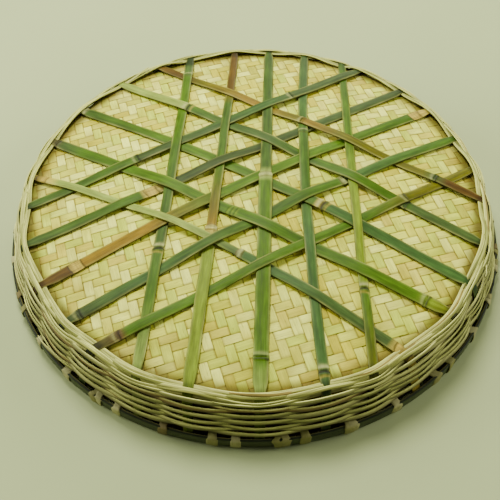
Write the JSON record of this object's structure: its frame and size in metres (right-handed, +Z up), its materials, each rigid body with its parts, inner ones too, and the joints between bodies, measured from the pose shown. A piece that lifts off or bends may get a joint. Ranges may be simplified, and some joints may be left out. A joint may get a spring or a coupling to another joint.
{
  "type": "winnowing basket",
  "caption": "Shallow round woven tray basket with a twill mat, a lattice of split slats on its back, a woven wall and a lashed hoop rim, standing on its rim.",
  "frame": {"origin": "on the floor, under the middle of the rim, with the basket upside down on its rim", "axes": "+Z up through the base, +Y along the middle of the lengthwise slats, +X to the right"},
  "size_m": [0.4208, 0.4204, 0.0597],
  "materials": {
    "green_bamboo": "split bamboo, green bark side up, satin",
    "pale_bamboo": "thin pale bamboo strip, matte",
    "mat_bamboo": "pale inner bamboo strip, woven in twill, satin",
    "hoop_bamboo": "dark green bamboo bark, satin",
    "lashing_bamboo": "pale flat bamboo strip, matte"
  },
  "bodies": {
    "root": {"slat_straight_1": "green_bamboo", "slat_straight_2": "green_bamboo", "slat_straight_3": "green_bamboo", "slat_straight_4": "green_bamboo", "slat_straight_5": "green_bamboo", "slat_left_1": "green_bamboo", "slat_left_2": "green_bamboo", "slat_left_3": "green_bamboo", "slat_left_4": "green_bamboo", "slat_left_5": "green_bamboo", "slat_right_1": "green_bamboo", "slat_right_2": "green_bamboo", "slat_right_3": "green_bamboo", "slat_right_4": "green_bamboo", "slat_right_5": "green_bamboo", "wall_weaver_01": "pale_bamboo", "wall_weaver_02": "pale_bamboo", "wall_weaver_03": "pale_bamboo", "wall_weaver_04": "pale_bamboo", "wall_weaver_05": "pale_bamboo", "wall_weaver_06": "pale_bamboo", "wall_weaver_07": "pale_bamboo", "wall_weaver_08": "pale_bamboo", "wall_weaver_09": "pale_bamboo", "wall_weaver_10": "pale_bamboo", "wall_weaver_11": "pale_bamboo", "wall_weaver_12": "pale_bamboo", "wall_weaver_13": "pale_bamboo", "mat_base": "mat_bamboo", "mat_wall": "mat_bamboo", "rim_outer_hoop": "hoop_bamboo", "rim_inner_hoop": "pale_bamboo", "rim_lashing": "lashing_bamboo"}
  },
  "joints": []
}
